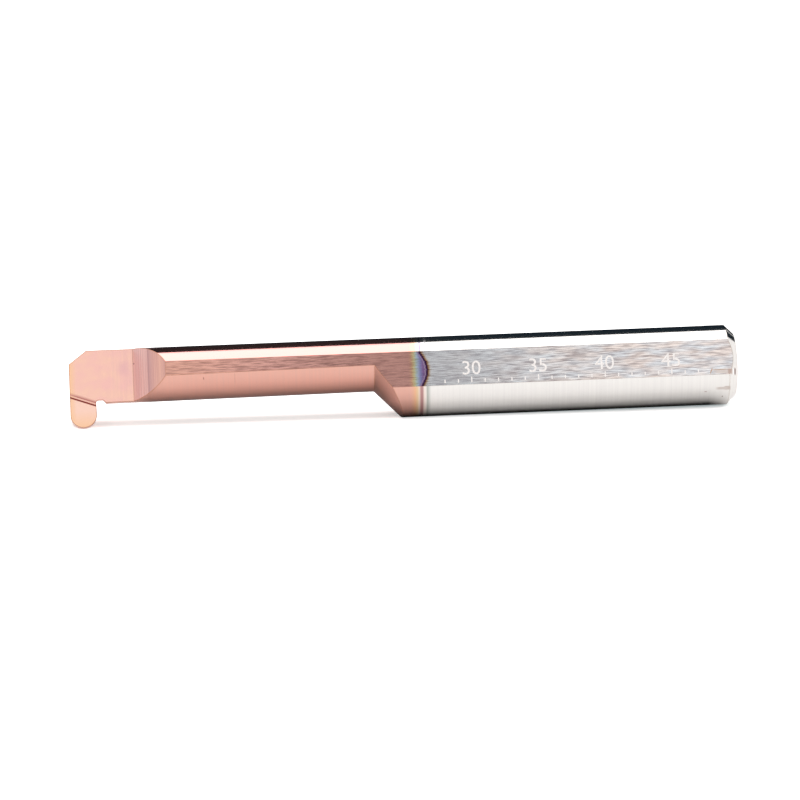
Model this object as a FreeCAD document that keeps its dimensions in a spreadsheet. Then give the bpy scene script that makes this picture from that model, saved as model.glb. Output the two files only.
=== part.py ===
import FreeCAD, Part
import os
import re

import Sketcher

# A solid carbide grooving bar with a full radius tooth, all ground from one round rod.
# It stands on its rear end: Z is the rod's axis, zero at the rear face, cutting head on top.
# The tooth points to -X. The rake face and the clamping flat face -Y.
# Places along the bar are counted back from the front end, the way they are ground.

sizes = {
    # the rod
    "overall_length": "50",
    "shank_diameter": "6",
    "rear_chamfer": "0.65",
    # clamping flat, rake face, and the ramp that joins them, ground in two passes
    "flat_level": "2.68",
    "rake_level": "0.15",
    "ramp_foot": "4.8",
    "ramp_angle": "47.4",
    "ramp_break": "5.95",
    "ramp_upper_angle": "44.6",
    # neck, ground round an axis beside the rod's own, a little thicker towards the head
    "neck_axis_offset": "2.41",
    "neck_front_radius": "3.47",
    "neck_rear_radius": "3.34",
    "neck_end": "22.8",
    "shoulder_angle": "45",
    # undercut where the neck meets the tooth
    "undercut_width": "0.68",
    "undercut_depth": "0.2",
    "undercut_radius": "0.17",
    "undercut_exit_angle": "45",
    "undercut_relief": "12.6",
    # tooth
    "tooth_width": "2",
    "tooth_reach": "2.88",
    "side_relief": "2",
    "side_clearance": "2.5",
    "tip_relief": "9",
    # step from the tooth's own rake face up to the main one: wall, narrow land, rounded edge
    "step_start": "0.57",
    "step_angle": "19.9",
    "step_wall_run": "0.07",
    "step_wall_height": "0.09",
    "step_land_run": "0.11",
    "step_land_level": "0.1",
    "step_round_run": "0.2",
    # front end
    "front_relief": "3.5",
    "corner_cut_length": "1.33",
    "corner_cut_depth": "1.02",
}

doc = FreeCAD.newDocument("groove_cutter")
sheet = doc.addObject("Spreadsheet::Sheet", "sizes")
for row, (alias, value) in enumerate(sizes.items(), start=1):
    sheet.set(f"A{row}", alias)
    sheet.set(f"B{row}", value)
    sheet.setAlias(f"B{row}", alias)
doc.recompute()

# Places that several outlines share. Each outline reaches well past the rod on its open side.
beyond_side = "shank_diameter"
beyond_front = "(overall_length + shank_diameter)"
tooth_rear = "(overall_length - tooth_width)"
arc_level = "(tooth_width / 2 - tooth_reach)"
neck_bottom_front = "(neck_axis_offset - neck_front_radius)"
neck_bottom_rear = "(neck_axis_offset - neck_rear_radius)"
undercut_top = f"({neck_bottom_front} + undercut_depth)"
undercut_turn = f"({undercut_top} - undercut_radius)"
undercut_end = f"({tooth_rear} - undercut_width)"


def side_at(place):
    """Where the tooth's rear side stands at a place across the bar."""
    return f"({tooth_rear} + tan(side_relief) * ({place} - {arc_level}))"


# The tooth's rear side and the undercut behind it.
undercut_side = side_at(undercut_turn)
side_and_undercut = {
    "side_outer": (f"-{beyond_side}", side_at(f"-{beyond_side}")),
    "undercut_start": (undercut_turn, undercut_side),
    "undercut_top": (undercut_top, f"{undercut_side} - undercut_radius"),
    "undercut_exit": (
        undercut_top, f"{undercut_end} + undercut_depth / tan(undercut_exit_angle)"
    ),
    "neck_front": (neck_bottom_front, undercut_end),
}
undercut_arc = {
    "undercut_start": ((undercut_turn, f"{undercut_side} - undercut_radius"), "undercut_radius"),
}


def on_sheet(expression):
    """Point each size that an expression names at its cell."""
    return re.sub(r"[a-z]+(?:_[a-z]+)+", r"sizes.\g<0>", expression)


def value_of(expression):
    return float(sheet.evalExpression(on_sheet(expression)))


def spot(place):
    return FreeCAD.Vector(value_of(place[0]), value_of(place[1]), 0)


def bind(sketch, name, constraint, expression):
    """Add a constraint whose value follows the sheet."""
    sketch.renameConstraint(sketch.addConstraint(constraint), name)
    sketch.setExpression(f"Constraints.{name}", on_sheet(expression))


def hold_point(sketch, name, edge, end, place):
    """Tie one end of an edge to a place that is given by two expressions."""
    for direction, expression in zip("XY", place):
        distance = Sketcher.Constraint(
            f"Distance{direction}", -1, 1, edge, end, value_of(expression)
        )
        bind(sketch, f"{name}_{direction.lower()}", distance, expression)


def draw_outline(body, plane, name, corners, arcs=None):
    """A closed outline. arcs gives centre and radius of the edge that follows a corner."""
    sketch = body.newObject("Sketcher::SketchObject", name)
    origin_plane = next(item for item in body.Origin.OriginFeatures if item.Role == plane)
    sketch.AttachmentSupport = (origin_plane, [""])
    sketch.MapMode = "FlatFace"
    spots = [spot(place) for place in corners.values()]
    edges = []
    for corner, start, stop in zip(corners, spots, spots[1:] + spots[:1]):
        if arcs and corner in arcs:
            centre, radius = arcs[corner]
            outwards = ((start + stop) / 2 - spot(centre)).normalize()
            middle = spot(centre) + outwards * value_of(radius)
            edge = sketch.addGeometry(Part.Arc(start, middle, stop))
            size = Sketcher.Constraint("Radius", edge, value_of(radius))
            bind(sketch, f"{corner}_radius", size, radius)
        else:
            edge = sketch.addGeometry(Part.LineSegment(start, stop))
        starts_first = sketch.getPoint(edge, 1).isEqual(start, 1e-6)
        edges.append((edge, 1, 2) if starts_first else (edge, 2, 1))
    for corner, (edge, first, _), (before, _, last) in zip(corners, edges, edges[-1:] + edges):
        sketch.addConstraint(Sketcher.Constraint("Coincident", before, last, edge, first))
        hold_point(sketch, corner, edge, first, corners[corner])
    return sketch


def add_axis(sketch, across):
    """A construction line along the bar, for an outline to turn about."""
    ends = ((across, "0"), (across, "overall_length"))
    line = sketch.addGeometry(Part.LineSegment(spot(ends[0]), spot(ends[1])), True)
    hold_point(sketch, "axis_low", line, 1, ends[0])
    hold_point(sketch, "axis_high", line, 2, ends[1])


def cut_through(body, name, sketch):
    pocket = body.newObject("PartDesign::Pocket", name)
    pocket.Profile = sketch
    pocket.Type = "ThroughAll"
    pocket.Midplane = True


def cut_along(body, name, sketch, length, **direction):
    """Cut along a direction that leans from the sketch's own, to a length square to it."""
    pocket = body.newObject("PartDesign::Pocket", name)
    pocket.Profile = sketch
    pocket.Type = "Length"
    pocket.setExpression("Length", on_sheet(length))
    pocket.AlongSketchNormal = True
    pocket.UseCustomVector = True
    pocket.Direction = FreeCAD.Vector(*(value_of(direction.get(axis, "0")) for axis in "xyz"))
    for axis, expression in direction.items():
        pocket.setExpression(f"Direction.{axis}", on_sheet(expression))


def make_rod(body):
    """The rod, longer than the bar at the front, with a chamfer round its rear end."""
    radius = "shank_diameter / 2"
    sketch = draw_outline(body, "XZ_Plane", "rod_outline", {
        "rear_centre": ("0", "0"),
        "rear_edge": (f"{radius} - rear_chamfer", "0"),
        "chamfer_end": (radius, "rear_chamfer"),
        "front_edge": (radius, beyond_front),
        "front_centre": ("0", beyond_front),
    })
    rod = body.newObject("PartDesign::Revolution", "rod")
    rod.Profile = sketch
    rod.ReferenceAxis = (sketch, ["V_Axis"])
    rod.Angle = 360


def grind_neck(body):
    """Rear side of the tooth, undercut, neck and shoulder, in one round of the wheel."""
    neck_end = "(overall_length - neck_end)"
    shoulder_run = f"({neck_bottom_rear} + {beyond_side}) / tan(shoulder_angle)"
    sketch = draw_outline(body, "XZ_Plane", "neck_outline", {
        **side_and_undercut,
        "neck_rear": (neck_bottom_rear, neck_end),
        "shoulder_outer": (f"-{beyond_side}", f"{neck_end} - {shoulder_run}"),
    }, undercut_arc)
    add_axis(sketch, "neck_axis_offset")
    neck = body.newObject("PartDesign::Groove", "neck")
    neck.Profile = sketch
    neck.ReferenceAxis = (sketch, ["Axis0"])
    neck.Angle = 360


def grind_flat_and_rake(body):
    """The clamping flat from the rear end to the ramp, and the rake face before it."""
    break_level = "(rake_level + (ramp_break - ramp_foot) * tan(ramp_angle))"
    upper_run = f"(flat_level - {break_level}) / tan(ramp_upper_angle)"
    sketch = draw_outline(body, "YZ_Plane", "flat_outline", {
        "outer_rear": (f"-{beyond_side}", f"-{beyond_side}"),
        "flat_rear": ("-flat_level", f"-{beyond_side}"),
        "ramp_head": ("-flat_level", f"overall_length - ramp_break - {upper_run}"),
        "ramp_middle": (f"-{break_level}", "overall_length - ramp_break"),
        "ramp_base": ("-rake_level", "overall_length - ramp_foot"),
        "rake_front": ("-rake_level", f"{beyond_front} + shank_diameter"),
        "outer_front": (f"-{beyond_side}", f"{beyond_front} + shank_diameter"),
    })
    cut_through(body, "flat_and_rake", sketch)


def grind_front(body):
    """The front face leans back below the rake face, so that only its edge can touch."""
    sketch = draw_outline(body, "YZ_Plane", "front_outline", {
        "edge": ("-rake_level", "overall_length"),
        "heel": (beyond_side, f"overall_length - tan(front_relief) * ({beyond_side} + rake_level)"),
        "above_heel": (beyond_side, f"{beyond_front} + shank_diameter"),
        "above_edge": ("-rake_level", f"{beyond_front} + shank_diameter"),
    })
    cut_through(body, "front_face", sketch)


def grind_corner(body):
    """The front corner away from the tooth is cut off."""
    on_front = "(shank_diameter / 2 - corner_cut_depth)"
    run = f"({beyond_side} - {on_front}) * corner_cut_length / corner_cut_depth"
    sketch = draw_outline(body, "XZ_Plane", "corner_outline", {
        "on_front": (on_front, "overall_length"),
        "on_side": (beyond_side, f"overall_length - {run}"),
        "above_side": (beyond_side, beyond_front),
        "above_front": (on_front, beyond_front),
    })
    cut_through(body, "corner_cut", sketch)


def grind_side(body):
    """The tooth's rear side and the undercut, which fall away below the rake face."""
    # the side stays flush with the end of the full radius, which moves inwards more slowly
    catch_up = "tan(side_relief) * (tan(undercut_relief) - tan(tip_relief))"
    sketch = draw_outline(body, "XZ_Plane", "side_outline", {
        **side_and_undercut,
        "outer_rear": (f"-{beyond_side}", undercut_end),
    }, undercut_arc)
    cut_along(
        body, "side_clearance", sketch, "shank_diameter",
        x="tan(undercut_relief)", y="1", z=f"tan(side_clearance) + {catch_up}",
    )


def grind_tip(body):
    """The full radius, which moves inwards and away from the rear side below its edge."""
    middle = "(overall_length - tooth_width / 2)"
    arc = ((arc_level, middle), "tooth_width / 2")
    sketch = draw_outline(body, "XZ_Plane", "tip_outline", {
        "clear_front": (arc_level, beyond_front),
        "arc_front": (arc_level, "overall_length"),
        "arc_tip": ("-tooth_reach", middle),
        "arc_rear": (arc_level, tooth_rear),
        "clear_rear": (arc_level, undercut_end),
        "outer_rear": (f"-{beyond_side}", undercut_end),
        "outer_front": (f"-{beyond_side}", beyond_front),
    }, {
        "arc_front": arc,
        "arc_tip": arc,
    })
    cut_along(
        body, "tip_relief", sketch, "shank_diameter",
        x="tan(tip_relief)", y="1", z="tan(side_clearance)",
    )


def grind_step(body):
    """The tooth's rake face, at centre height, below a step that slopes back to the neck."""
    crease = "(tan(step_angle) * shank_diameter - step_start)"
    land_foot = f"({crease} + step_wall_run)"
    land_top = f"({land_foot} + step_land_run)"
    round_top = f"({land_top} + step_round_run)"
    round_rise = "(rake_level - step_land_level)"
    round_radius = f"((step_round_run ^ 2 + {round_rise} ^ 2) / (2 * {round_rise}))"
    sketch = draw_outline(body, "XY_Plane", "step_outline", {
        "crease": (crease, "0"),
        "land_foot": (land_foot, "-step_wall_height"),
        "land_top": (land_top, "-step_land_level"),
        "round_top": (round_top, "-rake_level"),
        "above_top": (round_top, f"-{beyond_side}"),
        "above_outer": (f"-2 * {beyond_side}", f"-{beyond_side}"),
        "outer": (f"-2 * {beyond_side}", "0"),
    }, {
        "land_top": ((round_top, f"{round_radius} - rake_level"), round_radius),
    })
    sketch.setExpression("AttachmentOffset.Base.z", on_sheet(beyond_front))
    length = "shank_diameter + tooth_width + undercut_width"
    cut_along(body, "rake_step", sketch, length, x="-tan(step_angle)", z="-1")


def check(body):
    """Stop if an object failed, a cut took nothing away or the solid isn't sound."""
    for item in doc.Objects:
        if {"Invalid", "Error"} & set(item.State):
            raise RuntimeError(f"{item.Name} failed: {item.State}")
    steps = [item for item in body.Group if item.isDerivedFrom("PartDesign::Feature")]
    for before, after in zip(steps, steps[1:]):
        if before.Shape.Volume - after.Shape.Volume < 1e-3:
            raise RuntimeError(f"{after.Name} cuts nothing")
    if body.Shape.isNull() or not body.Shape.isValid() or len(body.Shape.Solids) != 1:
        raise RuntimeError(f"{body.Label} isn't one sound solid")


cutter = doc.addObject("PartDesign::Body", "groove_cutter")
cutter.Label = "groove_cutter"
cutter.Placement = FreeCAD.Placement()
make_rod(cutter)
grind_neck(cutter)
grind_flat_and_rake(cutter)
grind_front(cutter)
grind_corner(cutter)
grind_side(cutter)
grind_tip(cutter)
grind_step(cutter)
doc.recompute()
check(cutter)

os.makedirs("parts", exist_ok=True)
cutter.Shape.exportStep(f"parts/{cutter.Label}.step")
print(f"{cutter.Label}: {cutter.Shape.Volume:.1f} cubic millimetres")
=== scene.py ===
import math

import bmesh
import bpy
from mathutils import Matrix, Vector


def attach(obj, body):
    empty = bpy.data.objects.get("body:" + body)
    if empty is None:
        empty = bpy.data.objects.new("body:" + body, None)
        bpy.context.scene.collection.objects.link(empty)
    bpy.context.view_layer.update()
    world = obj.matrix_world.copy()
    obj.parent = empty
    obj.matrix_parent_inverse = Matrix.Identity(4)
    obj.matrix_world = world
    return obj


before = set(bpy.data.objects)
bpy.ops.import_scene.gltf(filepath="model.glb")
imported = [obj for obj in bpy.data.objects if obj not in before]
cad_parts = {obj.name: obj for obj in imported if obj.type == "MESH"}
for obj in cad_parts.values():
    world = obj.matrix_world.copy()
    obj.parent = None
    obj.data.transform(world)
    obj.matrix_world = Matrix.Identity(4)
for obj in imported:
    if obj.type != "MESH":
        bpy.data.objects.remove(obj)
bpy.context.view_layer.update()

# A solid carbide groove cutter, its front half coated. It stands on its rear end, as in the CAD,
# and the camera is turned on its side, because the photograph shows the tool lying down.
# Azimuths are in degrees round the bar: 0 is in front of the flat, 90 is away from the tooth.
# Places on the tool are in mm: back from the front end, up from the axis, away from the tooth, and
# deep from the axis, away from the flat.

mm = 0.001
barLength = 50  # mm


def hexColour(text):  # sRGB hex to linear
    parts = [int(text[i:i + 2], 16) / 255 for i in (1, 3, 5)]
    linear = [part / 12.92 if part <= 0.04045 else ((part + 0.055) / 1.055) ** 2.4 for part in parts]
    return (*linear, 1)


def addNode(tree, kind, inputs=None, stops=None, **settings):
    node = tree.nodes.new("ShaderNode" + kind)
    for name, value in settings.items():
        setattr(node, name, value)
    for name, value in (inputs or {}).items():
        if isinstance(value, bpy.types.NodeSocket):
            tree.links.new(value, node.inputs[name])
        else:
            node.inputs[name].default_value = value
    for index, (place, colour) in enumerate(stops or []):
        made = node.color_ramp.elements  # a new ramp has two
        stop = made[index] if index < 2 else made.new(place)
        stop.position = place
        stop.color = hexColour(colour)
    return node


def emptyTree(owner):
    owner.use_nodes = True
    owner.node_tree.nodes.clear()
    return owner.node_tree


def towards(azimuth):
    angle = math.radians(azimuth)
    return Vector((math.sin(angle), -math.cos(angle), 0))


def coloursAlong(tree, distance, bands):  # bands has a colour for each distance
    low = min(bands)
    span = max(bands) - low
    along = addNode(tree, "MapRange", {"Value": distance, "From Min": low, "From Max": low + span})
    ramp = addNode(tree, "ValToRGB", {0: along.outputs[0]},
                   [((spot - low) / span, bands[spot]) for spot in sorted(bands)])
    return ramp.outputs["Color"]


def where(tree, *limits):  # 1 where every value is past its second limit, 0 where one isn't at its first
    result = None
    for limit in limits:
        if isinstance(limit, tuple):
            value, low, high = limit
            mask = addNode(tree, "MapRange", {"Value": value, "From Min": low, "From Max": high})
            limit = mask.outputs[0]
        if result is not None:
            limit = addNode(tree, "Math", {0: result, 1: limit}, operation="MULTIPLY").outputs[0]
        result = limit
    return result


def layered(tree, under, layers):  # each layer is its mask and its colour
    result = under
    for mask, colour in layers:
        result = addNode(tree, "Mix", {0: mask, 6: result, 7: colour}, data_type="RGBA").outputs[2]
    return result


def within(tree, value, centre, half, soft):  # 1 in a band of twice half, with soft edges
    off = addNode(tree, "Math", {0: value, 1: centre}, operation="SUBTRACT")
    away = addNode(tree, "Math", {0: off.outputs[0]}, operation="ABSOLUTE")
    return where(tree, (away.outputs[0], half + soft, half))


def grain(tree, place, size, detail=2, low=0.35, high=0.65):  # size is across, deep, along, in mm
    scaled = addNode(tree, "VectorMath", {0: place, 1: size}, operation="DIVIDE")
    noise = addNode(tree, "TexNoise", {"Vector": scaled.outputs[0], "Scale": 1, "Detail": detail})
    return where(tree, (noise.outputs[0], low, high))


# The camera, at the photograph's angle and distance.

photoView = {
    "azimuth": -12.55,
    "elevation": 2.98,
    "roll": -2.97,
    "distance": 300 * mm,
    "aimAcross": -1.687 * mm,
    "aimHeight": 25.27 * mm,
    "focalPixels": 3990,   # the lens, in pixels of a picture this wide
    "frameWidth": 800,
    "sensorWidth": 36,
    "nearest": 10 * mm,
}


def setCamera(view):
    lift = math.radians(view["elevation"])
    roll = math.radians(view["roll"])
    back = towards(view["azimuth"]) * math.cos(lift) + Vector((0, 0, math.sin(lift)))
    aim = towards(view["azimuth"] + 90) * view["aimAcross"] + Vector((0, 0, view["aimHeight"]))
    down = Vector((1, 0, 0)).cross(back).normalized()  # towards the rear end, to the picture's right
    up = back.cross(down)
    data = bpy.data.cameras.new("photoCamera")
    data.sensor_width = view["sensorWidth"]
    data.lens = view["sensorWidth"] * view["focalPixels"] / view["frameWidth"]
    data.clip_start = view["nearest"]
    camera = bpy.data.objects.new("photoCamera", data)
    across = down * math.cos(roll) + up * math.sin(roll)
    matrix = Matrix((across, back.cross(across), back)).transposed().to_4x4()
    matrix.translation = aim + back * view["distance"]
    camera.matrix_world = matrix
    bpy.context.scene.collection.objects.link(camera)
    bpy.context.scene.camera = camera


# The studio: a white sheet under the lying tool, one under its rear end, and cards round it.

studio = {
    "world": 1.08,         # soft light from all round
    "paper": "#F4F3F2",
    "floorLift": "#B4B4B4",
    "tableAzimuth": 55.5,  # the way that the sheet under the lying tool faces
    "shankRadius": 3 * mm,
    "sheetSize": 1.5,      # half of its side, in metres
    "reach": 400 * mm,     # from the bar to the cards
    "cardSteps": 16,
}
# The sheet under the lying tool. Its places are mm from the line on which the shank touches it,
# towards the camera. The photograph is bleached, and leaves only a narrow band of the shadow,
# so the camera gets extra light from the sheet on both sides of that band.
# The metal mirrors painted shade on the sheet: dark beside the shank, paler under the raised neck, and a
# dark stripe far behind the tool.
table = {
    "shadowLean": 0.023,  # mm across for each mm of height, from the middle of the bar
    # cameraLift is painted light: the sheet glows for the camera, least in a narrow band along the tool,
    # which leaves a painted shadow band
    "cameraLift": {-1.2: "#FFFFFF", -0.7: "#D0D0D0", -0.3: "#959FA0", 0.3: "#959FA0",
                   0.7: "#D0D0D0", 1.2: "#FFFFFF"},
    "underShank": {-14: "#1A242C", -9: "#FDFDFD", -4: "#F0F0F0", -1.7: "#C4C4C4", -0.6: "#969696",
                   0.1: "#5A5A5A", 0.6: "#16181A", 1.1: "#1A1C1E", 1.45: "#4A4A4A", 1.7: "#7E7E7E",
                   1.9: "#A0A0A0", 2.1: "#B1B1B1", 2.34: "#C0C0C0", 2.7: "#D4D4D4", 3.08: "#E2E2E2",
                   3.6: "#ECECEC", 4.4: "#F7F7F7", 5.45: "#FCFCFC", 7: "#FEFEFE"},
    "underShoulder": {-14: "#1A242C", -9: "#FDFDFD", -1.7: "#C4C4C4", 0.1: "#606060", 0.7: "#262626",
                      1.1: "#242424", 1.7: "#5E5E5E", 2.1: "#8E8E8E", 2.7: "#B4B4B4", 3.6: "#D0D0D0",
                      5.45: "#EAEAEA", 9: "#F4F4F4"},
    "underNeck": {-14: "#1A242C", -9: "#FDFDFD", -5: "#C8C8C8", -2.5: "#959595", -0.54: "#B1B1B1",
                  0.7: "#D6D6D6", 1.67: "#EBEBEB", 2.63: "#F8F8F8", 3.66: "#FEFEFE"},
    "underHead": {-9: "#FDFDFD", -2: "#DDDDDD", 2: "#EDEDED", 5: "#FDFDFD"},
    "beyondRear": {-14: "#1A242C", -10: "#F4F0EE", 3: "#FDFDFD"},
    # mm of height over which the plain paper gives way to beyondRear, and so on upwards
    "changes": {"beyondRear": (-60, -50), "underShank": (0.2, 2.0), "underShoulder": (23.2, 24.4),
                "underNeck": (25.1, 27.2), "underHead": (44, 47)},
    # headLift is painted light: the sheet under the head glows this much more for the metal
    "headLift": "#8C8C8C",  # the metal sees this much more light from the sheet under the head
}
# Cards that only the metal sees, each glowing with its own colours and lighting nothing: painted
# reflections. Each has its azimuths and its colours, by metres up the card, or for the softbox by metres
# of depth. The softbox glows evenly, like white cloth lit from inside, a painted bright reflection. The
# flag and the grey card glow dark, as painted dark reflections, and the grey card is darkest in the
# middle.
softbox = {
    "from": 65.5,
    "to": 106,
    "strength": 2.35,
    "colours": {0.06: "#FFFFFF", 0.112: "#E6E6E6"},
}
blackFlag = {
    "from": 106,
    "to": 167.5,
    "colours": {-0.004: "#18222A", 0.004: "#2C2E30"},
}
greyCard = {
    "from": 0,
    "to": 25,
    "halfHeight": 90 * mm,
    # the flat mirrors this card, so it is darkest in the middle
    "colours": {-0.050: "#FFFFFF", -0.028: "#FDFDFD", -0.014: "#E8E8E8", -0.004: "#BCBCBC",
                0.006: "#A0A0A0", 0.017: "#D0D0D0", 0.030: "#FFFFFF"},
}


def setWorld(level):
    world = bpy.data.worlds.new("studioLight")
    bpy.context.scene.world = world
    tree = emptyTree(world)
    path = addNode(tree, "LightPath")
    seen = addNode(tree, "Math", {0: path.outputs["Is Camera Ray"], 1: path.outputs["Is Glossy Ray"]},
                   operation="MAXIMUM")
    through = addNode(tree, "Math", {0: seen.outputs[0], 1: path.outputs["Is Transmission Ray"]},
                      operation="MAXIMUM")
    light = addNode(tree, "Background", {"Color": (1, 1, 1, 1), "Strength": level})
    white = addNode(tree, "Background", {"Color": (1, 1, 1, 1), "Strength": 1})
    mix = addNode(tree, "MixShader", {0: through.outputs[0], 1: light.outputs[0], 2: white.outputs[0]})
    addNode(tree, "OutputWorld", {"Surface": mix.outputs[0]})


def finishPaper(tree, colour, glow, strength):
    # Uncoated paper is matt, so it takes the light evenly, and the glow is painted light on top of it.
    # From behind it is clear and hides nothing.
    geometry = addNode(tree, "NewGeometry")
    paper = addNode(tree, "BsdfDiffuse", {"Color": colour})
    lift = addNode(tree, "Emission", {"Color": glow, "Strength": strength})
    front = addNode(tree, "AddShader", {0: paper.outputs[0], 1: lift.outputs[0]})
    clear = addNode(tree, "BsdfTransparent")
    sides = addNode(tree, "MixShader",
                    {0: geometry.outputs["Backfacing"], 1: front.outputs[0], 2: clear.outputs[0]})
    addNode(tree, "OutputMaterial", {"Surface": sides.outputs[0]})


def whitePaper():
    material = bpy.data.materials.new("matt white paper")
    tree = emptyTree(material)
    path = addNode(tree, "LightPath")
    finishPaper(tree, hexColour(studio["paper"]), hexColour(studio["floorLift"]),
                path.outputs["Is Camera Ray"])
    return material


def tablePaper():  # the same paper, with the tool's shadow on it
    # The tool casts its own shadow on this paper, and painted shadow is added: in the glow that the camera
    # sees, and in the colours that the metal mirrors.
    material = bpy.data.materials.new("matt white paper under the tool")
    tree = emptyTree(material)
    path = addNode(tree, "LightPath")
    place = addNode(tree, "TexCoord")
    across = addNode(tree, "VectorMath", {0: place.outputs["Object"],
                                          1: towards(studio["tableAzimuth"] - 90) / mm},
                     operation="DOT_PRODUCT").outputs["Value"]
    height = addNode(tree, "SeparateXYZ", {0: place.outputs["Object"]}).outputs["Z"]
    reached = {part: where(tree, (height, low * mm, high * mm))
               for part, (low, high) in table["changes"].items()}
    mirroredPaintedShadow = layered(tree, hexColour(studio["paper"]),
                       [(mask, coloursAlong(tree, across, table[part])) for part, mask in reached.items()])
    colour = layered(tree, hexColour(studio["paper"]), [(path.outputs["Is Glossy Ray"], mirroredPaintedShadow)])
    fromMiddle = addNode(tree, "Math", {0: height, 1: photoView["aimHeight"]}, operation="SUBTRACT")
    shadowPlace = addNode(tree, "Math",
                          {0: fromMiddle.outputs[0], 1: table["shadowLean"] / mm, 2: across},
                          operation="MULTIPLY_ADD").outputs[0]
    atHead = where(tree, reached["underHead"], path.outputs["Is Glossy Ray"])
    glow = layered(tree, coloursAlong(tree, shadowPlace, table["cameraLift"]),
                   [(atHead, hexColour(table["headLift"]))])
    seen = addNode(tree, "Math", {0: path.outputs["Is Camera Ray"], 1: atHead}, operation="MAXIMUM")
    finishPaper(tree, colour, glow, seen.outputs[0])
    return material


def addStage(name, corners, faces, material):
    mesh = bpy.data.meshes.new(name)
    mesh.from_pydata(corners, [], faces)
    mesh.materials.append(material)
    item = bpy.data.objects.new(name, mesh)
    bpy.context.scene.collection.objects.link(item)
    return item


def addSheet(name, centre, normal, material):
    side = normal.orthogonal().normalized() * studio["sheetSize"]
    other = normal.cross(side)
    corners = [centre + side + other, centre - side + other,
               centre - side - other, centre + side - other]
    sheet = addStage(name, corners, [(0, 1, 2, 3)], material)
    sheet.visible_diffuse = False
    sheet.visible_shadow = False
    return sheet


def glowing(name, card, axis):  # a card's own colours, as light
    material = bpy.data.materials.new(name)
    tree = emptyTree(material)
    place = addNode(tree, "TexCoord")
    xyz = addNode(tree, "SeparateXYZ", {0: place.outputs["Object"]})
    glow = addNode(tree, "Emission", {"Color": coloursAlong(tree, xyz.outputs[axis], card["colours"]),
                                      "Strength": card.get("strength", 1)})
    addNode(tree, "OutputMaterial", {"Surface": glow.outputs[0]})
    return material


def addArc(name, card, material):
    steps = studio["cardSteps"]
    halfHeight = card.get("halfHeight", studio["reach"])
    corners = []
    for number in range(steps + 1):
        direction = towards(card["from"] + (card["to"] - card["from"]) * number / steps)
        for height in (-halfHeight, halfHeight):
            corners.append(direction * studio["reach"] + Vector((0, 0, height)))
    faces = [(2 * i, 2 * i + 2, 2 * i + 3, 2 * i + 1) for i in range(steps)]
    arc = addStage(name, corners, faces, material)
    arc.visible_camera = False  # the cards are seen only in the metal, and the world lights the tool
    arc.visible_diffuse = False
    arc.visible_shadow = False


def buildStudio():
    bpy.context.scene.view_settings.view_transform = "Standard"
    setWorld(studio["world"])
    facing = towards(studio["tableAzimuth"])
    addSheet("table", facing * -studio["shankRadius"], facing, tablePaper())
    floor = addSheet("floor", Vector((0, 0, 0)), Vector((0, 0, 1)), whitePaper())
    floor.visible_glossy = False  # the metal mirrors the sheet that the tool lies on
    addArc("softbox", softbox, glowing("softbox cloth", softbox, "Y"))
    addArc("blackFlag", blackFlag, glowing("painted dark reflection", blackFlag, "Z"))
    addArc("greyCard", greyCard, glowing("painted grey reflection", greyCard, "Z"))


# The tool's one solid keeps its CAD shape and gets this finish. All lengths are in mm.

coating = {
    "cylinder": "#EEB5A4",
    "bright": "#F0A9A1",
    "flat": "#E6AEA2",
    "flatFront": "#E8B09E",
    "rakePink": "#F8C3B9",
    "rakePeach": "#FACAB6",
    "rakeLilac": "#EDBAB6",
    "tooth": "#FDD4C2",
    "gold": "#FBC9A0",
    "ring": "#AEA6AA",
    "edge": "#BC8468",
    # crease is painted shade: a dark line in the crease where the tooth's face meets the step
    "crease": "#7E3430",
    # stepShade is painted shade: a soft brown band on the step's rounded top, above the crease
    "stepShade": "#B87870",
    "rampLine": "#B98A88",
}
bare = {
    "cylinder": "#F4F0EC",
    "flatCold": "#F0F2F5",
    "flatWarm": "#F8EBE4",
    "ridge": "#FFFFFF",  # what the grooves' shade leaves as it is
    "edge": "#B8A898",
}
# how much the grooves darken the flat, by mm back from the front end
grooveShade = {8: "#C4BEC0", 20: "#9E989A", 26: "#A8A2A6"}
# Where the coating thins out under its mask, light beats in it and it shows bands of colour.
# Each list has mm back from the front end, and the colour there.
cylinderBands = {
    25.45: coating["cylinder"], 25.75: "#F4BC94", 25.93: "#EDCBA2", 26.06: "#F2DCCC", 26.15: "#C99C98",
    26.25: "#B48684", 26.34: "#C69C98", 26.41: "#FAE6DA", 26.55: "#F6ECE4", 26.66: "#B4B8AE",
    26.74: "#C8CAC4", 26.95: bare["cylinder"],
}
upperBands = {  # on the bright side, where the bands are narrower
    25.45: coating["bright"], 25.85: "#F4C0A0", 26.00: "#F2DCC4", 26.12: "#F4F0EE", 26.18: "#C8B8C8",
    26.22: "#988C9C", 26.26: "#988C9C", 26.31: "#E8DEE4", 26.60: "#F4F0EC", 26.67: "#B4B4B8",
    26.74: bare["cylinder"],
}
flatBands = {
    25.35: coating["flat"], 25.62: "#F2BE98", 25.84: "#F0E6B2", 25.98: "#D6E6DC", 26.12: "#C8D4EE",
    26.30: "#A4A4D8", 26.50: "#A07EB4", 26.75: "#8E6492",
}
# across the D-shaped end of the coating on the flat: mm from its dark line, and the colour there
edgeBands = {
    -0.20: "#A07EB4", -0.13: "#CDB9D4", -0.07: "#6E4880", 0.0: "#361440", 0.05: "#482038",
    0.09: "#A87E5E", 0.15: "#C8A686", 0.23: "#DECEBE", 0.34: "#EDEAE6",
}
edgeArc = {"apex": 26.73, "middle": -0.1, "fall": 0.30}  # back, up, and the fall for each mm squared
rampBands = {
    4.80: "#EEC2B8", 5.15: "#E6B8B4", 5.60: "#EEC0B8", 5.90: "#E2B4AE", 5.96: "#B88E8C",
    6.04: "#CEA29E", 6.30: "#DCAAA0", 6.70: "#E6B2A2", 7.25: "#DEAC9E",
}
crease = {"start": 0.57, "angle": 19.9}  # where the tooth's face meets the step, as in the CAD

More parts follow.
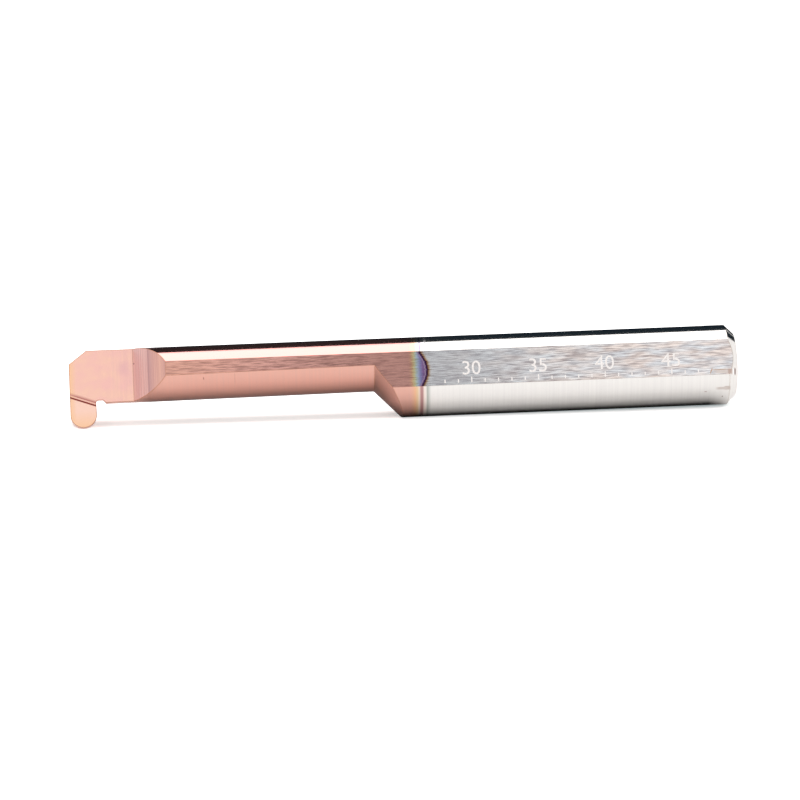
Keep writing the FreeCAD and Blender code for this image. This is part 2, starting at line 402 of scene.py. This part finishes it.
# How the surfaces are told apart, by the way they face and by their place. Each pair, here and in
# the next dictionary, runs from nothing to full.
surfaces = {
    "facesOut": (-0.96, -0.98),      # the flat and the rake face look straight out
    "flatDepth": (-2.5, -2.6),
    "rakeDepth": (-1.1, -1),
    "rampFacesFront": (0.6, 0.65),
    "rampFacesOut": (-0.6, -0.65),
    "rampBack": (8.1, 8),
    "brightSide": (0.5, 0.6),        # up
    "flatSide": (0.1, 0),            # the marks don't go through to the back of the tool
    "toothBack": (2.6, 2.5),
    "stepTop": (0.03, 0.02),
    "stepFoot": (-0.3, -0.25),
}
# where each colour begins, back from the front end unless it says otherwise
colourPlaces = {
    "flatFront": (15, 8),
    "warmPatches": (27, 40),
    "flatBands": (25.35, 25.7),
    "edgeBands": (-0.24, -0.16),     # from the dark line
    "bareFlat": (0.15, 0.38),        # from the dark line
    "rakeLines": (2, 4.2),
    "lilacBack": (4.1, 0.1, 0.5),    # middle, half its width, and how soft it is
    "lilacUp": (1.5, 0.2, 0.5),
    "tooth": (0.02, -0.06),          # from the crease
    "goldFront": (0.5, 0),
    "goldTip": (-1.6, -3),           # up
    # where the step's painted shade band and the crease's painted shade line lie
    "stepShadeAway": (0.42, 0.2),       # from the crease
    "stepShadeNear": (0.17, 0.2),
    "stepShadeAlong": (-0.8, 0.6),
    "creaseShade": (0.03, 0.035, 0.02),
    "rampLines": (-10, 26),          # so they are about half strength on the ramp
    "coatedEdge": (26.4, 26.2),
    "edgeBend": (0.995, 0.93),       # how alike two ways of facing are, from flat to bent
}
# A diamond wheel leaves lines 0.005 to 0.02 mm apart. They are too fine for the render, so they are
# drawn as coarse as they have to be to show. Each size is across, deep and along.
grinding = {
    "flat": (0.07, 1, 0.9),      # streaks along the bar
    "flatWave": (0.8, 1, 1.3),   # their waviness
    "waveShift": 0.08,
    "flatPatch": (0.5, 1, 1.9),
    "fringeShift": 0.14,         # how far the streaks pull the coating's end
    "fringeMiddle": 0.6,         # the share of it that they pull on average
    "ring": (12, 12, 0.16),      # round the bar
    "ramp": (5, 5, 0.09),        # across the ramp
    "rake": (5, 5, 0.28),        # across the rake face
    "rakeBlotch": (0.9, 1, 1.1),
    "streakLevels": (0.28, 0.62),
    "lineLevels": (0.3, 0.7),
    "ringStrength": 0.12,
    "rakeStrength": 0.5,
    "edgeRadius": 0.035,
    "edgeLine": 0.12,
    "bevelSamples": 8,
    "relief": 0.003,
}
# how rough: finely ground cylinder, coarser flat and ramp, and a haze where the coating ends on the
# bright side
roughness = {
    "cylinder": 0.11,
    "flatGrooves": 0.2,
    "flatRidges": 0.12,
    "ramp": 0.22,
    "haze": 0.24,
    "hazeBack": (26.66, 0.02, 0.12),  # middle, half its width, and how soft it is
    "hazeUp": (1.6, 1.8),
}
# marks from handling, and a painted glint on a chip: back, up, length along the bar, width, how much it
# leans, and the colour
handlingMarksAndGlint = {
    "cornerStain": (48.80, -1.13, 0.75, 0.16, 0, "#DCD0CA"),
    "cornerLine": (48.60, -0.97, 0.80, 0.045, 0.03, "#C0A694"),
    "scratch": (47.96, -1.05, 0.12, 0.12, 1.9, "#C4A490"),
    "chipStain": (49.38, -1.12, 0.22, 0.26, 0, "#C4AEA4"),
    # chipPaintedGlint is a painted highlight on the chip
    "chipPaintedGlint": (49.66, -1.12, 0.06, 0.26, 0, "#FFFFFF"),
    "chipEdge": (49.79, -1.08, 0.07, 0.30, 0, "#80625A"),
    "lowerStain": (49.18, -2.24, 0.30, 0.14, 0, "#C8BAB2"),
    "lowerTail": (48.80, -2.25, 0.55, 0.10, 0, "#D6CAC4"),
    "lowerSpeck": (47.55, -2.42, 0.12, 0.03, 0, "#C4B0AC"),
    "rearSpeck": (48.85, -2.72, 0.06, 0.03, 0, "#8E7A74"),
    "neckTick": (10.05, -0.02, 0.05, 0.09, -1, "#B07C6E"),
    "neckScore": (12.38, -0.08, 0.03, 0.40, 0, "#D8A090"),
    "rampSpeck": (4.87, 1.82, 0.05, 0.05, 0, "#6E3C46"),
}


def coatedCarbide():
    # Cemented carbide, ground with diamond wheels: a bright grey metal with the wheel's fine lines.
    # The front half is coated in vacuum, which gives it the pink copper colour and keeps the lines.
    # Its colours also carry painted shade on the tooth's step and in its crease, and a painted glint on a
    # chip near the rear end.
    material = bpy.data.materials.new("coated ground carbide")
    tree = emptyTree(material)
    coordinates = addNode(tree, "TexCoord")
    place = addNode(tree, "VectorMath", {0: coordinates.outputs["Object"], "Scale": 1 / mm},
                    operation="SCALE").outputs[0]
    xyz = addNode(tree, "SeparateXYZ", {0: place})
    up = xyz.outputs["X"]
    depth = xyz.outputs["Y"]
    back = addNode(tree, "Math", {0: barLength, 1: xyz.outputs["Z"]}, operation="SUBTRACT").outputs[0]
    facing = addNode(tree, "SeparateXYZ", {0: coordinates.outputs["Normal"]})
    facingDepth = facing.outputs["Y"]

    # which surface this is
    facesOut = (facingDepth, *surfaces["facesOut"])
    onFlat = where(tree, facesOut, (depth, *surfaces["flatDepth"]))
    onRake = where(tree, facesOut, (depth, *surfaces["rakeDepth"]))
    onRamp = where(tree, (facing.outputs["Z"], *surfaces["rampFacesFront"]),
                   (facingDepth, *surfaces["rampFacesOut"]), (back, *surfaces["rampBack"]))
    onFlatSide = where(tree, (depth, *surfaces["flatSide"]))
    nearTooth = where(tree, (back, *surfaces["toothBack"]))
    onStep = where(tree, nearTooth, (depth, *surfaces["stepTop"]), (depth, *surfaces["stepFoot"]))

    # the wheel's lines, and patches of colour
    wave = grain(tree, place, grinding["flatWave"], detail=1, low=0, high=1)
    shift = addNode(tree, "Math", {0: wave, 1: grinding["waveShift"]}, operation="MULTIPLY")
    shiftAcross = addNode(tree, "CombineXYZ", {"X": shift.outputs[0]})
    wavy = addNode(tree, "VectorMath", {0: place, 1: shiftAcross.outputs[0]}, operation="ADD").outputs[0]
    streaks = grain(tree, wavy, grinding["flat"], 4, *grinding["streakLevels"])
    patches = grain(tree, place, grinding["flatPatch"], detail=1)
    rings = grain(tree, place, grinding["ring"], 3, *grinding["lineLevels"])
    rampLines = grain(tree, place, grinding["ramp"], 3, *grinding["lineLevels"])
    rakeLines = grain(tree, place, grinding["rake"])
    blotches = grain(tree, place, grinding["rakeBlotch"])
    faintRings = addNode(tree, "MapRange", {"Value": rings, "To Max": grinding["ringStrength"]})
    faintLines = addNode(tree, "MapRange", {"Value": rakeLines, "To Max": grinding["rakeStrength"]})

    # the coating's last millimetre on the flat, which the streaks pull to and fro
    pulled = addNode(tree, "Math", {0: streaks, 1: grinding["fringeShift"], 2: back},
                     operation="MULTIPLY_ADD").outputs[0]
    offMiddle = addNode(tree, "Math", {0: up, 1: edgeArc["middle"]}, operation="SUBTRACT").outputs[0]
    square = addNode(tree, "Math", {0: offMiddle, 1: offMiddle}, operation="MULTIPLY").outputs[0]
    fallen = addNode(tree, "Math", {0: square, 1: edgeArc["fall"], 2: pulled}, operation="MULTIPLY_ADD")
    apex = edgeArc["apex"] + grinding["fringeMiddle"] * grinding["fringeShift"]
    pastArc = addNode(tree, "Math", {0: fallen.outputs[0], 1: apex}, operation="SUBTRACT").outputs[0]

    # colours of the flat
    coatedFlat = layered(tree, hexColour(coating["flat"]), [
        (where(tree, (back, *colourPlaces["flatFront"])), hexColour(coating["flatFront"]))])
    silver = layered(tree, hexColour(bare["flatCold"]), [
        (where(tree, (back, *colourPlaces["warmPatches"]), patches), hexColour(bare["flatWarm"]))])
    smoothFlat = layered(tree, coatedFlat, [
        (where(tree, (pulled, *colourPlaces["flatBands"])), coloursAlong(tree, pulled, flatBands)),
        (where(tree, (pastArc, *colourPlaces["edgeBands"])), coloursAlong(tree, pastArc, edgeBands)),
        (where(tree, (pastArc, *colourPlaces["bareFlat"])), silver)])
    grooves = layered(tree, coloursAlong(tree, back, grooveShade), [(streaks, hexColour(bare["ridge"]))])
    flatColour = addNode(tree, "Mix", {0: 1, 6: smoothFlat, 7: grooves}, data_type="RGBA",
                         blend_type="MULTIPLY").outputs[2]

    # colours of the rake face, its tooth and the step between them
    slope = math.radians(crease["angle"])
    run = addNode(tree, "Math", {0: back, 1: math.tan(slope), 2: up}, operation="MULTIPLY_ADD")
    fromStart = addNode(tree, "Math", {0: run.outputs[0], 1: crease["start"]}, operation="ADD")
    fromCrease = addNode(tree, "Math", {0: fromStart.outputs[0], 1: math.cos(slope)},
                         operation="MULTIPLY").outputs[0]
    lilacSpot = where(tree, within(tree, back, *colourPlaces["lilacBack"]),
                      within(tree, up, *colourPlaces["lilacUp"]))
    rakeColour = layered(tree, hexColour(coating["rakePink"]), [
        (blotches, hexColour(coating["rakePeach"])),
        (where(tree, faintLines.outputs[0], (back, *colourPlaces["rakeLines"])),
         hexColour(coating["rakeLilac"])),
        (lilacSpot, hexColour(coating["rakeLilac"])),
        (where(tree, (fromCrease, *colourPlaces["tooth"]), nearTooth), hexColour(coating["tooth"])),
        (where(tree, (back, *colourPlaces["goldFront"])), hexColour(coating["gold"])),
        (where(tree, (up, *colourPlaces["goldTip"]), nearTooth), hexColour(coating["gold"]))])
    # painted shade: a soft brown band on the step's rounded top, and a dark line in the crease
    stepShade = where(tree, (fromCrease, *colourPlaces["stepShadeAway"]),
                   (fromCrease, *colourPlaces["stepShadeNear"]), onStep, (back, *colourPlaces["stepShadeAlong"]))
    creaseShade = where(tree, within(tree, fromCrease, *colourPlaces["creaseShade"]), onStep)

    rampColour = layered(tree, coloursAlong(tree, back, rampBands), [
        (where(tree, rampLines, (back, *colourPlaces["rampLines"])), hexColour(coating["rampLine"]))])

    # thin brown line where two faces meet
    geometry = addNode(tree, "NewGeometry")
    softNormal = addNode(tree, "Bevel", {"Radius": grinding["edgeRadius"] * mm},
                         samples=grinding["bevelSamples"])
    wideNormal = addNode(tree, "Bevel", {"Radius": grinding["edgeLine"] * mm},
                         samples=grinding["bevelSamples"])
    alike = addNode(tree, "VectorMath", {0: wideNormal.outputs[0], 1: geometry.outputs["Normal"]},
                    operation="DOT_PRODUCT")
    edges = where(tree, (alike.outputs["Value"], *colourPlaces["edgeBend"]))
    edgeColour = layered(tree, hexColour(bare["edge"]), [
        (where(tree, (back, *colourPlaces["coatedEdge"])), hexColour(coating["edge"]))])

    # marks from handling, and the chip's painted glint
    handlingAndGlint = []
    for markBack, markUp, length, width, lean, tint in handlingMarksAndGlint.values():
        across = addNode(tree, "Math", {0: back, 1: -lean, 2: up}, operation="MULTIPLY_ADD").outputs[0]
        shape = where(tree, within(tree, back, markBack, length / 2, length / 2),
                      within(tree, across, markUp - lean * markBack, width / 2, width / 2), onFlatSide)
        handlingAndGlint.append((shape, hexColour(tint)))

    brightSide = where(tree, (up, *surfaces["brightSide"]))
    colour = layered(tree, coloursAlong(tree, back, cylinderBands), [
        (brightSide, coloursAlong(tree, back, upperBands)),
        (faintRings.outputs[0], hexColour(coating["ring"])),
        (onFlat, flatColour),
        (onRake, rakeColour),
        (onRamp, rampColour),
        (edges, edgeColour),
        (stepShade, hexColour(coating["stepShade"])),
        (creaseShade, hexColour(coating["crease"])),
        *handlingAndGlint])

    flatRough = addNode(tree, "MapRange", {"Value": streaks, "To Min": roughness["flatGrooves"],
                                           "To Max": roughness["flatRidges"]})
    rough = addNode(tree, "Mix", {0: onFlat, 2: roughness["cylinder"], 3: flatRough.outputs[0]})
    rough = addNode(tree, "Mix", {0: onRamp, 2: rough.outputs[0], 3: roughness["ramp"]})
    hazy = where(tree, within(tree, back, *roughness["hazeBack"]), (up, *roughness["hazeUp"]))
    rough = addNode(tree, "Mix", {0: hazy, 2: rough.outputs[0], 3: roughness["haze"]})

    # the wheel's lines in relief
    flatRelief = where(tree, streaks, onFlat)
    rampRelief = where(tree, rampLines, onRamp)
    relief = addNode(tree, "Math", {0: flatRelief, 1: rampRelief}, operation="ADD")
    bump = addNode(tree, "Bump", {"Height": relief.outputs[0], "Distance": grinding["relief"] * mm,
                                  "Normal": softNormal.outputs[0]})
    metal = addNode(tree, "BsdfPrincipled", {"Base Color": colour, "Metallic": 1,
                                             "Roughness": rough.outputs[0], "Normal": bump.outputs[0]})
    addNode(tree, "OutputMaterial", {"Surface": metal.outputs[0]})
    return material


# A plain length scale on the bare flat: a line for each mm from the front end, and numbers.
# Places are in mm, back from the front end and up from the axis.

lengthScale = {
    "from": 28,
    "to": 47,
    "numberEvery": 5,
    "lineFoot": -1.18,
    "lineLength": 0.26,
    "longLine": 0.42,
    "lineWidth": 0.09,
    "numberFoot": -0.58,
    "numberSize": 1.5,
    "level": 2.68,      # of the flat
    "proud": 0.002,     # what the laser raises
    "sunk": 0.02,
    "curveSteps": 6,
    "weld": 0.0005,     # corners nearer than this become one
    "colour": "#F6F1EE",
    "shade": "#E6DEDA",
    "roughness": 0.6,
    "crust": 0.1,       # a laser's spots are about 0.03 mm apart, so this is coarser, to show
    "crustHeight": 0.002,
}


def laserMark():
    # Carbide that a laser has burnt white: a matt, slightly uneven crust, so it looks chalky.
    material = bpy.data.materials.new("laser-burnt carbide")
    tree = emptyTree(material)
    place = addNode(tree, "TexCoord").outputs["Object"]
    crust = grain(tree, place, [lengthScale["crust"] * mm] * 3)
    colour = layered(tree, hexColour(lengthScale["shade"]), [(crust, hexColour(lengthScale["colour"]))])
    bump = addNode(tree, "Bump", {"Height": crust, "Distance": lengthScale["crustHeight"] * mm})
    surface = addNode(tree, "BsdfPrincipled", {"Base Color": colour, "Normal": bump.outputs[0],
                                               "Roughness": lengthScale["roughness"]})
    addNode(tree, "OutputMaterial", {"Surface": surface.outputs[0]})
    return material


def onFlatAt(back, up, level):
    return Vector((up * mm, -level * mm, (barLength - back) * mm))


def addMark(name, shape, material):
    bmesh.ops.remove_doubles(shape, verts=shape.verts, dist=lengthScale["weld"] * mm)
    bmesh.ops.recalc_face_normals(shape, faces=shape.faces)
    mesh = bpy.data.meshes.new(name)
    shape.to_mesh(mesh)
    shape.free()
    mesh.materials.append(material)
    piece = bpy.data.objects.new(name, mesh)
    bpy.context.scene.collection.objects.link(piece)
    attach(piece, "root")


def scaleLines(material):
    scale = lengthScale
    shape = bmesh.new()
    half = scale["lineWidth"] / 2
    for back in range(scale["from"], scale["to"] + 1):
        length = scale["lineLength"] if back % scale["numberEvery"] else scale["longLine"]
        outline = [(back - half, 0), (back + half, 0), (back + half, length), (back - half, length)]
        rings = [[shape.verts.new(onFlatAt(x, scale["lineFoot"] + y, level)) for x, y in outline]
                 for level in (scale["level"] - scale["sunk"], scale["level"] + scale["proud"])]
        bottom, top = rings
        shape.faces.new(top)
        shape.faces.new(reversed(bottom))
        for i in range(4):
            shape.faces.new((bottom[i], bottom[(i + 1) % 4], top[(i + 1) % 4], top[i]))
    addMark("scaleLines", shape, material)


def scaleNumbers(material):
    scale = lengthScale
    shape = bmesh.new()
    thick = (scale["sunk"] + scale["proud"]) / 2
    middle = scale["level"] + scale["proud"] - thick
    turn = Matrix(((0, 1, 0), (0, 0, -1), (-1, 0, 0))).to_4x4()  # to read along the bar, facing out
    for back in range(scale["from"], scale["to"] + 1):
        if back % scale["numberEvery"]:
            continue
        text = bpy.data.curves.new("number", "FONT")
        text.body = str(back)
        text.align_x = "CENTER"
        text.size = scale["numberSize"] * mm
        text.extrude = thick * mm
        text.resolution_u = scale["curveSteps"]
        holder = bpy.data.objects.new("number", text)
        mesh = bpy.data.meshes.new_from_object(holder)
        mesh.transform(Matrix.Translation(onFlatAt(back, scale["numberFoot"], middle)) @ turn)
        shape.from_mesh(mesh)
        bpy.data.objects.remove(holder)
        bpy.data.curves.remove(text)
        bpy.data.meshes.remove(mesh)
    addMark("scaleNumbers", shape, material)


setCamera(photoView)
buildStudio()
print("studio and camera set")

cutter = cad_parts["groove_cutter"]
cutter.data.materials.clear()
cutter.data.materials.append(coatedCarbide())
print("carbide coated")

laserWhite = laserMark()
scaleLines(laserWhite)
scaleNumbers(laserWhite)
print("scale marked on the flat")
